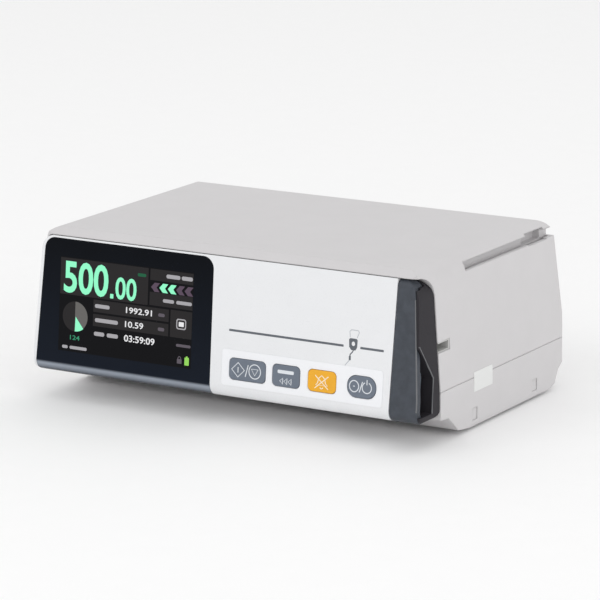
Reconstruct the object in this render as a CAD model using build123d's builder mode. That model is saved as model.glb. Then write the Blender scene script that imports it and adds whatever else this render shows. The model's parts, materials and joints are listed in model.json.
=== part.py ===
from build123d import *
import os
from math import atan, cos, degrees, pi, sin

os.makedirs("parts", exist_ok=True)

# An infusion pump for a bedside table or a pole: a two-part case, a front door that is hinged along
# its lower edge and carries the display, the keys and the release lever, and a linear peristaltic
# mechanism behind the door. Millimetres. +X is to the user's right, +Y to the rear, +Z up, and the
# origin is on the table under the middle of the case.

# ---------------------------------------------------------------- driving dimensions
HALF_WIDTH = 132.0  # of the lower case
HEIGHT = 102.5
REAR_Y = 87.1
SEAM_Z = 30.5  # between the lower and the upper case
SIDE_DRAFT = 0.0645  # how far a side wall leans in, per mm above the seam
WALL = 2.5
SEAM_GAP = 0.2
TOP_CORNER_R = 11.0
SKIRT_CORNER_R = 4.0
REAR_CORNER_R = 2.5
LEAST_CORNER_R = 0.4

PARTING_Y = -63.6  # where the door meets the case
HOOD_ARC_Y = -77.1  # centre of the hood's curve over the door
HOOD_ARC_Z = 84.5
HOOD_ARC_R = PARTING_Y - HOOD_ARC_Y
HOOD_LIP_Y = -79.6
HOOD_LIP_Z = 98.15
HOOD_CREASE_Y = -73.4
HOOD_CORNER_R = 14.0

FRONT_LEAN = 0.096  # how far the front face leans back, per mm of height
FRONT_Y_AT_0 = -89.376  # the front plane's Y at table height
DOOR_WALL = 2.8
DOOR_GAP = 0.5
DOOR_TOP_Z = 97.9
DOOR_BOTTOM_Z = 15.7
DOOR_CHIN_R = 7.5
DOOR_SIDE_INSET = 0.4
DOOR_LEFT_R = 8.5
DOOR_RIGHT_R = 12.5

HINGE_Y = -68.9
HINGE_Z = 20.5
HINGE_KNUCKLE_R = 4.3
DOOR_KNUCKLE_R = HINGE_Z - DOOR_BOTTOM_Z
HINGE_PIN_R = 2.0
HINGE_X = (-96.0, 84.0)
HINGE_BRACKET_W = 12.0

LEVER_Y = -75.9  # axis of the lever and its latch shaft
LEVER_Z = 92.8
LEVER_HUB_R = 4.6
LEVER_THICK = 4.0
LEVER_GAP = 0.5
LATCH_SHAFT_R = 2.0
HOOK_X = (-122.0, 108.0)
LATCH_SHAFT_X = (-124.0, 120.0)
HOOK_HUB_R = 2.6
HOOK_W = 2.4

FASCIA_THICK = 1.6
FASCIA_FIT = 0.15
FASCIA_TOP_Z = 96.6
FASCIA_RIGHT_X = -7.5
FASCIA_R = 7.0
SCREEN_X = -67.55  # middle of the lit area
SCREEN_Z = 58.2
MODULE_W = 105.5
MODULE_H = 66.0
MODULE_Z = 56.5
MODULE_THICK = 3.6

KEY_Z = 34.2
KEY_H = 12.5
KEY_PROUD = 0.7
KEY_DEEP = 3.9
KEY_FIT = 0.25
KEY_TRAVEL = 0.8
# name, middle X, width, corner radius
KEYS = (
    ("key_start", 18.1, 24.4, 3.0),
    ("key_bolus", 44.1, 18.2, 3.0),
    ("key_alarm", 67.9, 18.4, 3.0),
    ("key_power", 93.9, 18.6, 6.0),
)
OVERLAY_X = (0.6, 107.4)
OVERLAY_Z = (24.0, 45.1)
OVERLAY_PROUD = 0.25

TUBE_Z = 56.1
TUBE_SLOT_H = 4.6
TUBE_FLOOR_Y = -51.2
FRAME_Y = (-61.0, -58.0)
BEAM_Y = (-61.0, -49.0)
FRAME_HALF_X = 120.0
MECH_X = (-56.5, -3.5)  # the pumping mechanism's frame
WINDOW_X = (-54.5, -5.5)

CAM_Y = -33.5
CAM_THROW = 1.2
CAM_R = 8.0
CAM_SHAFT_R = 4.0
N_FINGERS = 8
FINGER_PITCH = 5.4
FINGER_T = 4.6
FINGER_MID_X = -30.0
FINGER_TIP_Y = -55.6
YOKE_HALF_Y = 13.0
YOKE_HALF_Z = 12.2
MOTOR_Y = 4.0
PULLEY_X = (-1.0, 5.0)
CAM_PULLEY_R = 12.0
MOTOR_PULLEY_R = 6.0
RUN_FIT = 0.05  # radial clearance of a shaft in its bearing
BELT_FIT = 0.1

LEAN = atan(FRONT_LEAN)
DEPTH_SPAN = 130.0


# ---------------------------------------------------------------- shared geometry
def front_y(z):
    """Y of the front plane at height z."""
    return FRONT_Y_AT_0 + FRONT_LEAN * z


def half_width(z):
    """Half the case's width at height z."""
    return HALF_WIDTH - SIDE_DRAFT * max(0.0, z - SEAM_Z)


def on_front(depth):
    """A plane parallel to the door's face, this deep in it; its y is the height along the slope."""
    outward = Vector(0, -cos(LEAN), sin(LEAN))
    foot = Vector(0, front_y(0), 0) - outward * depth
    return Plane(origin=foot, x_dir=(1, 0, 0), z_dir=outward)


def up(z):
    """Height along the sloping front for a height above the table."""
    return z / cos(LEAN)


def block(x0, x1, y0, y1, z0, z1):
    """A box between two corners, as a free-standing solid."""
    middle = Pos((x0 + x1) / 2, (y0 + y1) / 2, (z0 + z1) / 2)
    return middle * Box(abs(x1 - x0), abs(y1 - y0), abs(z1 - z0), mode=Mode.PRIVATE)


def rod(radius, x0, x1, y, z):
    """A cylinder along X, as a free-standing solid."""
    turned = Pos((x0 + x1) / 2, y, z) * Rot(0, 90, 0)
    return turned * Cylinder(radius, x1 - x0, mode=Mode.PRIVATE)


def post(radius, x, y0, y1, z):
    """A cylinder along Y, as a free-standing solid."""
    turned = Pos(x, (y0 + y1) / 2, z) * Rot(90, 0, 0)
    return turned * Cylinder(radius, y1 - y0, mode=Mode.PRIVATE)


def pillar(radius, x, y, z0, z1):
    """An upright cylinder, as a free-standing solid."""
    return Pos(x, y, (z0 + z1) / 2) * Cylinder(radius, z1 - z0, mode=Mode.PRIVATE)


def case_outline(inset):
    """The case's outline seen from the front, drawn in by this much, run through the whole depth."""
    with BuildPart() as zone:
        with BuildSketch(Plane.XZ) as outline:
            with BuildLine():
                Polyline(
                    (-HALF_WIDTH, 0),
                    (-HALF_WIDTH, SEAM_Z),
                    (-half_width(HEIGHT), HEIGHT),
                    (half_width(HEIGHT), HEIGHT),
                    (HALF_WIDTH, SEAM_Z),
                    (HALF_WIDTH, 0),
                    close=True,
                )
            make_face()
            fillet(outline.vertices().group_by(Axis.Y)[-1], TOP_CORNER_R)
            fillet(outline.vertices().group_by(Axis.Y)[0], SKIRT_CORNER_R)
            if inset:
                offset(amount=-inset, kind=Kind.INTERSECTION)
        extrude(amount=DEPTH_SPAN, both=True)
    return zone.part


def case_plan(inset):
    """The case's outline seen from above, drawn in by this much, run up through the whole height."""
    with BuildPart() as zone:
        with BuildSketch(Plane.XY) as plan:
            with Locations((0, (REAR_Y + HOOD_LIP_Y) / 2)):
                Rectangle(2 * (HALF_WIDTH - inset), REAR_Y - HOOD_LIP_Y - 2 * inset)
            fillet(plan.vertices().group_by(Axis.Y)[-1], max(REAR_CORNER_R - inset, LEAST_CORNER_R))
            fillet(plan.vertices().group_by(Axis.Y)[0], HOOD_CORNER_R - inset)
        extrude(amount=HEIGHT + 5)
    return zone.part


def case_form(inset):
    """The closed outer form of the case, drawn in by this much on every side."""
    with BuildPart() as form:
        with BuildSketch(Plane.YZ):
            with BuildLine():
                Line((PARTING_Y, 14.2), (PARTING_Y, HOOD_ARC_Z))
                CenterArc((HOOD_ARC_Y, HOOD_ARC_Z), HOOD_ARC_R, 0, 90)
                Polyline(
                    (HOOD_ARC_Y, HOOD_ARC_Z + HOOD_ARC_R),
                    (HOOD_LIP_Y, HOOD_LIP_Z),
                    (HOOD_CREASE_Y, HEIGHT),
                    (71.0, HEIGHT),
                )
                ThreePointArc((71.0, HEIGHT), (78.3, 100.6), (81.0, 94.5))
                Polyline(
                    (81.0, 94.5),
                    (REAR_Y, 40.5),
                    (REAR_Y, 16.5),
                    (80.4, 12.3),
                    (75.4, 4.2),
                    (69.4, 1.5),
                    (-28.0, 1.5),
                    (-42.6, 3.6),
                    (-54.6, 13.6),
                    (PARTING_Y, 14.2),
                )
            make_face()
            if inset:
                offset(amount=-inset, kind=Kind.INTERSECTION)
        extrude(amount=HALF_WIDTH + 2, both=True)
        add(case_outline(inset), mode=Mode.INTERSECT)
        add(case_plan(inset), mode=Mode.INTERSECT)
    return form.part


def door_side(inset):
    """The door's side profile, drawn in by this much, run across the whole width."""
    chin_y = front_y(DOOR_BOTTOM_Z + DOOR_CHIN_R) + DOOR_CHIN_R / cos(LEAN)
    chin_z = DOOR_BOTTOM_Z + DOOR_CHIN_R
    arc_r = HOOD_ARC_R - DOOR_GAP
    back_y = HOOD_ARC_Y + arc_r
    tangent = (chin_y - DOOR_CHIN_R * cos(LEAN), chin_z + DOOR_CHIN_R * sin(LEAN))
    brow = (front_y(DOOR_TOP_Z), DOOR_TOP_Z)
    with BuildPart() as form:
        with BuildSketch(Plane.YZ):
            with BuildLine():
                Line(tangent, brow)
                Line(brow, (HOOD_ARC_Y, HOOD_ARC_Z + arc_r))
                CenterArc((HOOD_ARC_Y, HOOD_ARC_Z), arc_r, 0, 90)
                Line((back_y, HOOD_ARC_Z), (back_y, HINGE_Z))
                CenterArc((HINGE_Y, HINGE_Z), DOOR_KNUCKLE_R, -90, 90)
                Line((HINGE_Y, DOOR_BOTTOM_Z), (chin_y, DOOR_BOTTOM_Z))
                CenterArc((chin_y, chin_z), DOOR_CHIN_R, 180 - degrees(LEAN), 90 + degrees(LEAN))
            make_face()
            if inset:
                offset(amount=-inset, kind=Kind.INTERSECTION)
        extrude(amount=HALF_WIDTH + 2, both=True)
    return form.part


def door_outline(grow):
    """The door's outline seen from the front, grown by this much, run through the whole depth."""
    wide = HALF_WIDTH - DOOR_SIDE_INSET
    top = half_width(DOOR_TOP_Z) - DOOR_SIDE_INSET
    with BuildPart() as zone:
        with BuildSketch(Plane.XZ) as outline:
            with BuildLine():
                Polyline(
                    (-wide, DOOR_BOTTOM_Z),
                    (-wide, SEAM_Z),
                    (-top, DOOR_TOP_Z),
                    (top, DOOR_TOP_Z),
                    (wide, SEAM_Z),
                    (wide, DOOR_BOTTOM_Z),
                    close=True,
                )
            make_face()
            fillet(outline.vertices().group_by(Axis.Y)[-1].sort_by(Axis.X)[0], DOOR_LEFT_R)
            fillet(outline.vertices().group_by(Axis.Y)[-1].sort_by(Axis.X)[-1], DOOR_RIGHT_R)
            fillet(outline.vertices().group_by(Axis.Y)[0], 5.0)
            if grow:
                offset(amount=grow, kind=Kind.INTERSECTION)
        extrude(amount=DEPTH_SPAN, both=True)
    return zone.part


def door_form(inset):
    """The closed outer form of the whole door, drawn in by this much on every side."""
    return door_side(inset) & door_outline(-inset)


def end_line(z):
    """X of the parting between the white shell and the dark end of the door, at height z."""
    return 111.6 + 0.0325 * (z - 22.5)


def end_zone(shift):
    """Everything to the right of the door's end parting, moved right by this much."""
    with BuildPart() as zone:
        with BuildSketch(Plane.XZ):
            with BuildLine():
                Polyline(
                    (end_line(0) + shift, 0),
                    (end_line(110) + shift, 110),
                    (140, 110),
                    (140, 0),
                    close=True,
                )
            make_face()
        extrude(amount=DEPTH_SPAN, both=True)
    return zone.part


def fascia_zone(grow):
    """The outline of the display fascia, grown by this much, cut through the door's front skin."""
    with BuildPart() as zone:
        with BuildSketch(Plane.XZ) as outline:
            with BuildLine():
                Polyline(
                    (-125.2, FASCIA_TOP_Z),
                    (FASCIA_RIGHT_X, FASCIA_TOP_Z),
                    (FASCIA_RIGHT_X, 5.0),
                    (-130.4, 5.0),
                    (-129.9, 23.0),
                    close=True,
                )
            make_face()
            fillet(outline.vertices().group_by(Axis.Y)[-1], FASCIA_R)
            if grow:
                offset(amount=grow)
        extrude(amount=DEPTH_SPAN)
        with Locations((-60, -100, 50)):
            Box(200, 48, 140, mode=Mode.INTERSECT)
    return zone.part


case_outer = case_form(0)
case_inner = case_form(WALL)
door_outer = door_form(0)
door_inner = door_form(DOOR_WALL)
fascia_skin = door_outer - door_form(FASCIA_THICK)

# ---------------------------------------------------------------- the case
RAIL_Z = (93.1, 97.9)  # stacking groove along each side
RAIL_FLOOR_X = 122.8
RAIL_START_Y = -27.5
POCKET_Y = (49.0, 72.0)  # deeper catch pocket near the rear of the groove
POCKET_Z = (92.4, 99.2)
POCKET_FLOOR_X = 118.5
FRONT_OPENING_Z = (26.0, 82.0)
FRONT_OPENING_X = 124.5
RECESS_FLOOR_Y = (77.5, 80.0)
RECESSES = ((-72.0, -4.0, 40.0, 74.0), (30.0, 112.0, 38.0, 66.0))
INLET_X = 92.0
INLET_Z = 52.0
PORT_X = 50.0
PORT_Z = 52.0
PLATE_MID = (-38.0, 57.0)
PLATE_HOLE_R = 2.1
PLATE_PITCH = (44.0, 18.0)
GUIDE_HALF_Z = 3.0  # of the tube guide at each end of the channel
BOARD_TOP_Z = 85.6
STANDOFFS = ((-100, -38), (-100, 58), (0, -38), (0, 58), (100, -38), (100, 58))
SPEAKER_X = -100.0
SPEAKER_Z = 56.0

with BuildPart() as hood_cheek:
    add(block(-140, 0, HOOD_LIP_Y - 1, PARTING_Y + 1, HOOD_ARC_Z, HOOD_LIP_Z))
    add(case_outline(0), mode=Mode.INTERSECT)
    add(case_plan(0), mode=Mode.INTERSECT)
    add(door_outline(DOOR_GAP), mode=Mode.SUBTRACT)

with BuildPart() as upper_case:
    add(case_outer)
    add(case_inner, mode=Mode.SUBTRACT)
    add(hood_cheek.part)
    for side in (-1, 1):
        for x0, x1, y0, y1, z0, z1 in (
            (RAIL_FLOOR_X - 2.5, RAIL_FLOOR_X + 0.2, RAIL_START_Y - 3, 82, 90.6, 100.5),
            (POCKET_FLOOR_X - 2.5, 123.0, POCKET_Y[0] - 2.5, POCKET_Y[1] + 2.5, 90.0, 101.0),
        ):
            rib = block(side * x0, side * x1, y0, y1, z0, z1) & case_outer
            add(rib)
    for x0, x1, z0, z1 in RECESSES:
        add(block(x0 - 2.5, x1 + 2.5, RECESS_FLOOR_Y[0], 90, z0 - 2.5, z1 + 2.5) & case_outer)
    for x, y in STANDOFFS:
        add(pillar(3.0, x, y, BOARD_TOP_Z, HEIGHT - 1))
    for side in (-1, 1):
        groove = block(side * RAIL_FLOOR_X, side * 140, RAIL_START_Y, 95, *RAIL_Z)
        add(groove, mode=Mode.SUBTRACT)
        pocket = block(side * POCKET_FLOOR_X, side * 140, *POCKET_Y, *POCKET_Z)
        add(pocket, mode=Mode.SUBTRACT)
        slot = block(
            side * 118, side * 140, PARTING_Y - 2, TUBE_FLOOR_Y + 1.2,
            TUBE_Z - GUIDE_HALF_Z - 0.1, TUBE_Z + GUIDE_HALF_Z + 0.1,
        )
        add(slot, mode=Mode.SUBTRACT)
    add(block(-FRONT_OPENING_X, FRONT_OPENING_X, -66, -60, *FRONT_OPENING_Z), mode=Mode.SUBTRACT)
    for x0, x1, z0, z1 in RECESSES:
        add(block(x0, x1, RECESS_FLOOR_Y[1], 95, z0, z1), mode=Mode.SUBTRACT)
    inlet_hole = block(INLET_X - 13.8, INLET_X + 13.8, 70, 82, INLET_Z - 10.1, INLET_Z + 10.1)
    add(inlet_hole, mode=Mode.SUBTRACT)
    port_hole = block(PORT_X - 8.1, PORT_X + 8.1, 70, 82, PORT_Z - 6.9, PORT_Z + 6.9)
    add(port_hole, mode=Mode.SUBTRACT)
    for x in (PLATE_MID[0] - PLATE_PITCH[0] / 2, PLATE_MID[0] + PLATE_PITCH[0] / 2):
        for z in (PLATE_MID[1] - PLATE_PITCH[1] / 2, PLATE_MID[1] + PLATE_PITCH[1] / 2):
            add(post(PLATE_HOLE_R + 0.6, x, 76, 81, z), mode=Mode.SUBTRACT)
    for k in range(8):
        vent_x = 38.0 + 9.0 * k
        add(block(vent_x, vent_x + 3.0, 75, 95, 73, 88), mode=Mode.SUBTRACT)
    for ring, count in ((0.0, 1), (4.5, 6), (9.0, 12)):
        for k in range(count):
            turn = 2 * pi * k / count
            hole = post(0.9, SPEAKER_X + ring * cos(turn), 75, 95, SPEAKER_Z + ring * sin(turn))
            add(hole, mode=Mode.SUBTRACT)
    split(bisect_by=Plane.XY.offset(SEAM_Z + SEAM_GAP / 2), keep=Keep.TOP)

upper_case.part.label = "upper_case"
export_step(upper_case.part, "parts/upper_case.step")

BATTERY_BAY = (-98.0, -56.0, 2.0, 56.0)
FEET = ((-111, -22, 12.5), (111, -22, 12.5), (-111, 60, 19.0), (111, 60, 19.0))
CASE_SCREWS = ((-118, -10), (118, -10), (-118, 30), (118, 30))
FOOT_MARKS_Y = (-23.5, 50.0)
TONGUE_RISE = 2.0
tongue_inner = case_form(WALL + 1.5)
tongue_low = (case_inner - tongue_inner) & block(-140, 140, -55, 95, SEAM_Z - 4, SEAM_Z - 0.5)
tongue_high = case_form(WALL + 0.15) - tongue_inner
tongue_high = tongue_high & block(-140, 140, -55, 95, SEAM_Z - 2, SEAM_Z + TONGUE_RISE)

with BuildPart() as lower_case:
    add(case_outer)
    add(case_inner, mode=Mode.SUBTRACT)
    split(bisect_by=Plane.XY.offset(SEAM_Z - SEAM_GAP / 2), keep=Keep.BOTTOM)
    add(tongue_low)
    add(tongue_high)
    for x, y, length in FEET:
        add(block(x - 8, x + 8, y - length / 2 - 2, y + length / 2 + 2, 1.5, 6.5))
    for x, y in CASE_SCREWS:
        add(pillar(5.0, x, y, 3.0, 29.0))
    for side in (-1, 1):
        for y in FOOT_MARKS_Y:
            add(block(side * 127, side * 129.8, y - 4.5, y + 4.5, 3.5, 15.0))
            add(block(side * 131.4, side * 140, y - 3, y + 3, 5.5, 12.5), mode=Mode.SUBTRACT)
    add(block(-FRONT_OPENING_X, FRONT_OPENING_X, -66, -60, *FRONT_OPENING_Z), mode=Mode.SUBTRACT)
    for x in HINGE_X:
        add(block(x - 6.3, x + 6.3, -66, -60, 18.4, 22.6), mode=Mode.SUBTRACT)
    for x, y, length in FEET:
        add(block(x - 6, x + 6, y - length / 2, y + length / 2, 0, 3.5), mode=Mode.SUBTRACT)
    for x, y in CASE_SCREWS:
        add(pillar(3.4, x, y, 0, 7.0), mode=Mode.SUBTRACT)
        add(pillar(1.5, x, y, 2, 29.5), mode=Mode.SUBTRACT)
    add(block(*BATTERY_BAY, 0, 5), mode=Mode.SUBTRACT)
    for k in range(9):
        vent_x = 20.0 + 8.0 * k
        add(block(vent_x, vent_x + 3.0, 5, 40, 0, 5), mode=Mode.SUBTRACT)

lower_case.part.label = "lower_case"
export_step(lower_case.part, "parts/lower_case.step")

with BuildPart() as rubber_feet:
    for x, y, length in FEET:
        with BuildSketch(Plane.XY):
            with Locations((x, y)):
                RectangleRounded(11.6, length - 0.4, 2.5)
        extrude(amount=3.5)
    chamfer(rubber_feet.faces().filter_by(Axis.Z).group_by(Axis.Z)[0].edges(), 0.5)

rubber_feet.part.label = "rubber_feet"
export_step(rubber_feet.part, "parts/rubber_feet.step")

with BuildPart() as case_screws:
    for x, y in CASE_SCREWS:
        add(pillar(2.8, x, y, 4.5, 7.0))
        add(pillar(1.5, x, y, 7.0, 27.0))
        add(block(x - 1.8, x + 1.8, y - 0.4, y + 0.4, 4, 5.7), mode=Mode.SUBTRACT)
        add(block(x - 0.4, x + 0.4, y - 1.8, y + 1.8, 4, 5.7), mode=Mode.SUBTRACT)

case_screws.part.label = "case_screws"
export_step(case_screws.part, "parts/case_screws.step")

with BuildPart() as battery_cover:
    x0, x1, y0, y1 = BATTERY_BAY
    with BuildSketch(Plane.XY.offset(1.5)):
        with Locations(((x0 + x1) / 2, (y0 + y1) / 2)):
            Rectangle(x1 - x0 - 0.6, y1 - y0 - 0.6)
    extrude(amount=2.4)
    with Locations(((x0 + x1) / 2, y0 + 7, 1.5), ((x0 + x1) / 2, y1 - 7, 1.5)):
        Cylinder(2.2, 2.4, mode=Mode.SUBTRACT)

battery_cover.part.label = "battery_cover"
export_step(battery_cover.part, "parts/battery_cover.step")

with BuildPart() as battery_pack:
    with BuildSketch(Plane.XY.offset(4.6)):
        with Locations((-76, 29)):
            RectangleRounded(48, 64, 3)
    extrude(amount=34)
    chamfer(battery_pack.faces().sort_by(Axis.Z)[-1].edges(), 1.0)
    with Locations((-62, 61, 30)):
        Box(6, 3, 8)

battery_pack.part.label = "battery_pack"
export_step(battery_pack.part, "parts/battery_pack.step")

LABEL_Y = (-24.6, -2.6)
LABEL_Z = (22.0, 33.5)
LABEL_PLY = 0.2

with BuildPart() as seal_label:
    for z0, z1 in ((LABEL_Z[0], SEAM_Z), (SEAM_Z, LABEL_Z[1])):
        with BuildSketch(Plane.XZ.offset(-LABEL_Y[0])):
            with BuildLine():
                Polyline(
                    (half_width(z0), z0),
                    (half_width(z1), z1),
                    (half_width(z1) + LABEL_PLY, z1),
                    (half_width(z0) + LABEL_PLY, z0),
                    close=True,
                )
            make_face()
        extrude(amount=-(LABEL_Y[1] - LABEL_Y[0]))

seal_label.part.label = "seal_label"
export_step(seal_label.part, "parts/seal_label.step")

# ---------------------------------------------------------------- front frame and tube path
SENSOR_X = (-86.0, -72.0)
PRESSURE_X = 15.0
CLAMP_X = 60.0
HOOK_WINDOW = (5.0, 65.2, 85.5)  # width, bottom, top
KEEPER_Y = -56.3
KEEPER_Z = 82.5
KEEPER_R = 1.5
KEEPER_HALF = 2.6

with BuildPart() as front_frame:
    add(block(-FRAME_HALF_X - 5.6, FRAME_HALF_X + 5.6, *FRAME_Y, 24.2, 87.0))
    add(block(-FRAME_HALF_X, FRAME_HALF_X, *BEAM_Y, TUBE_Z - 6.6, TUBE_Z + 6.6))
    channel = block(-130, 130, -66, TUBE_FLOOR_Y, TUBE_Z - TUBE_SLOT_H / 2, TUBE_Z + TUBE_SLOT_H / 2)
    add(channel, mode=Mode.SUBTRACT)
    add(block(*WINDOW_X, -66, -45, TUBE_Z - 6.3, TUBE_Z + 6.3), mode=Mode.SUBTRACT)
    for side in (-1, 1):
        ends = block(side * FRAME_HALF_X, side * 130, -66, -45, TUBE_Z - 6.6, TUBE_Z + 6.6)
        add(ends, mode=Mode.SUBTRACT)
    for x in HOOK_X:
        width, z0, z1 = HOOK_WINDOW
        add(block(x - width / 2, x + width / 2, -66, -50, z0, z1), mode=Mode.SUBTRACT)
    for z0, z1 in ((TUBE_Z + 2.3, TUBE_Z + 4.8), (TUBE_Z - 4.8, TUBE_Z - 2.3)):
        add(block(*SENSOR_X, -66, -53, z0, z1), mode=Mode.SUBTRACT)
    add(post(4.1, PRESSURE_X, -55, -45, TUBE_Z), mode=Mode.SUBTRACT)
    add(block(CLAMP_X - 2.1, CLAMP_X + 2.1, -55, -45, TUBE_Z - 2.3, TUBE_Z + 2.3), mode=Mode.SUBTRACT)
    for x in (-100, -40, 40, 100):
        for z in (32, 80):
            add(post(1.6, x, -62, -57, z), mode=Mode.SUBTRACT)

front_frame.part.label = "front_frame"
export_step(front_frame.part, "parts/front_frame.step")

with BuildPart() as tube_guides:
    for side in (-1, 1):
        outer_x = half_width(TUBE_Z) - 0.4
        add(
            block(
                side * (FRAME_HALF_X + 0.1), side * outer_x, -63.0, TUBE_FLOOR_Y + 1.0,
                TUBE_Z - GUIDE_HALF_Z, TUBE_Z + GUIDE_HALF_Z,
            )
        )
        groove = block(
            side * 100, side * 140, -66, TUBE_FLOOR_Y,
            TUBE_Z - TUBE_SLOT_H / 2, TUBE_Z + TUBE_SLOT_H / 2,
        )
        add(groove, mode=Mode.SUBTRACT)

tube_guides.part.label = "tube_guides"
export_step(tube_guides.part, "parts/tube_guides.step")

with BuildPart() as bubble_sensor:
    for z0, z1 in ((TUBE_Z + 2.4, TUBE_Z + 4.7), (TUBE_Z - 4.7, TUBE_Z - 2.4)):
        add(block(SENSOR_X[0] + 0.2, SENSOR_X[1] - 0.2, -62.6, -53.2, z0, z1))
    chamfer(bubble_sensor.edges().filter_by(Axis.Z).group_by(Axis.Y)[0], 0.8)

bubble_sensor.part.label = "bubble_sensor"
export_step(bubble_sensor.part, "parts/bubble_sensor.step")

with BuildPart() as pressure_sensor:
    add(post(4.0, PRESSURE_X, TUBE_FLOOR_Y, -48.8, TUBE_Z))
    add(post(6.5, PRESSURE_X, -48.8, -42.0, TUBE_Z))

pressure_sensor.part.label = "pressure_sensor"
export_step(pressure_sensor.part, "parts/pressure_sensor.step")

with BuildPart() as tube_clamp:
    add(block(CLAMP_X - 1.9, CLAMP_X + 1.9, -51.0, -36.0, TUBE_Z - 2.0, TUBE_Z + 2.0))
    chamfer(tube_clamp.faces().sort_by(Axis.Y)[0].edges().filter_by(Axis.X), 1.2)
    add(block(CLAMP_X - 6, CLAMP_X + 6, -36.0, -33.0, TUBE_Z - 6, TUBE_Z + 6))

tube_clamp.part.label = "tube_clamp"
export_step(tube_clamp.part, "parts/tube_clamp.step")

with BuildPart() as latch_keepers:
    for x in HOOK_X:
        for side in (-1, 1):
            ear_x = x + side * KEEPER_HALF
            add(block(ear_x, ear_x + side, FRAME_Y[1], -53.5, 79.8, 85.2))
        add(rod(KEEPER_R, x - KEEPER_HALF, x + KEEPER_HALF, KEEPER_Y, KEEPER_Z))

latch_keepers.part.label = "latch_keepers"
export_step(latch_keepers.part, "parts/latch_keepers.step")

with BuildPart() as hinge_brackets:
    half = HINGE_BRACKET_W / 2
    for x in HINGE_X:
        add(rod(HINGE_KNUCKLE_R, x - half, x + half, HINGE_Y, HINGE_Z))
        add(block(x - half, x + half, HINGE_Y, -59.5, 18.9, 22.1))
        add(block(x - half - 4, x + half + 4, -60.9, -59.3, 17.4, 23.8))
        hole = rod(HINGE_PIN_R + RUN_FIT, x - half - 1, x + half + 1, HINGE_Y, HINGE_Z)
        add(hole, mode=Mode.SUBTRACT)

hinge_brackets.part.label = "hinge_brackets"
export_step(hinge_brackets.part, "parts/hinge_brackets.step")

# ---------------------------------------------------------------- pumping mechanism
with BuildPart() as mechanism_frame:
    low_z = TUBE_Z - YOKE_HALF_Z - 3.1
    high_z = TUBE_Z + YOKE_HALF_Z + 3.1
    add(block(*MECH_X, BEAM_Y[1], -17.0, low_z, low_z + 3.0))
    add(block(*MECH_X, BEAM_Y[1], -17.0, high_z - 3.0, high_z))
    for x in (MECH_X[0], MECH_X[1] - 3.0):
        add(block(x, x + 3.0, BEAM_Y[1], -17.0, low_z, high_z))
        add(rod(CAM_R, x - 1, x + 4, CAM_Y, TUBE_Z), mode=Mode.SUBTRACT)

mechanism_frame.part.label = "mechanism_frame"
export_step(mechanism_frame.part, "parts/mechanism_frame.step")

with BuildPart() as shaft_bearings:
    for x in (MECH_X[0], MECH_X[1] - 3.0):
        add(rod(CAM_R, x, x + 3.0, CAM_Y, TUBE_Z))
        add(rod(CAM_SHAFT_R, x - 1, x + 4, CAM_Y, TUBE_Z), mode=Mode.SUBTRACT)

shaft_bearings.part.label = "shaft_bearings"
export_step(shaft_bearings.part, "parts/shaft_bearings.step")

finger_x = [FINGER_MID_X + (i - (N_FINGERS - 1) / 2) * FINGER_PITCH for i in range(N_FINGERS)]
finger_turn = [2 * pi * i / N_FINGERS for i in range(N_FINGERS)]

with BuildPart() as camshaft:
    add(rod(CAM_SHAFT_R - RUN_FIT, MECH_X[0] - 1.5, PULLEY_X[1] + 1.0, CAM_Y, TUBE_Z))
    for x, turn in zip(finger_x, finger_turn):
        cam_y = CAM_Y + CAM_THROW * cos(turn)
        cam_z = TUBE_Z + CAM_THROW * sin(turn)
        add(rod(CAM_R, x - 2.1, x + 2.1, cam_y, cam_z))

camshaft.part.label = "camshaft"
export_step(camshaft.part, "parts/camshaft.step")

for i, (x, turn) in enumerate(zip(finger_x, finger_turn)):
    reach = CAM_THROW * cos(turn)
    half = FINGER_T / 2
    yoke_y = CAM_Y + reach
    with BuildPart() as finger:
        add(
            block(
                x - half, x + half, yoke_y - YOKE_HALF_Y, yoke_y + YOKE_HALF_Y,
                TUBE_Z - YOKE_HALF_Z, TUBE_Z + YOKE_HALF_Z,
            )
        )
        add(block(x - half, x + half, FINGER_TIP_Y + reach, yoke_y, TUBE_Z - 4, TUBE_Z + 4))
        fillet(finger.faces().sort_by(Axis.Y)[0].edges().filter_by(Axis.X), 1.5)
        add(
            block(
                x - 5, x + 5, yoke_y - CAM_R - 2 * CAM_THROW - 0.3,
                yoke_y + CAM_R + 2 * CAM_THROW + 0.3,
                TUBE_Z - CAM_R - CAM_THROW - 0.4, TUBE_Z + CAM_R + CAM_THROW + 0.4,
            ),
            mode=Mode.SUBTRACT,
        )
    finger.part.label = f"finger_{i + 1}"
    export_step(finger.part, f"parts/finger_{i + 1}.step")

with BuildPart() as shaft_pulley:
    add(rod(CAM_PULLEY_R, PULLEY_X[0], PULLEY_X[1], CAM_Y, TUBE_Z))
    add(rod(CAM_SHAFT_R - RUN_FIT, PULLEY_X[0] - 1, PULLEY_X[1] + 1, CAM_Y, TUBE_Z), mode=Mode.SUBTRACT)
    for k in range(6):
        turn = pi / 3 * k
        web_y = CAM_Y + 7.8 * cos(turn)
        web_z = TUBE_Z + 7.8 * sin(turn)
        add(rod(2.2, PULLEY_X[0] - 1, PULLEY_X[1] + 1, web_y, web_z), mode=Mode.SUBTRACT)

shaft_pulley.part.label = "shaft_pulley"
export_step(shaft_pulley.part, "parts/shaft_pulley.step")

MOTOR_SHAFT_R = 2.5
MOTOR_FACE_X = 8.0
with BuildPart() as motor_pulley:
    add(rod(MOTOR_PULLEY_R, PULLEY_X[0], PULLEY_X[1], MOTOR_Y, TUBE_Z))
    add(rod(MOTOR_SHAFT_R, PULLEY_X[0] - 1, PULLEY_X[1] + 1, MOTOR_Y, TUBE_Z), mode=Mode.SUBTRACT)

motor_pulley.part.label = "motor_pulley"
export_step(motor_pulley.part, "parts/motor_pulley.step")

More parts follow.
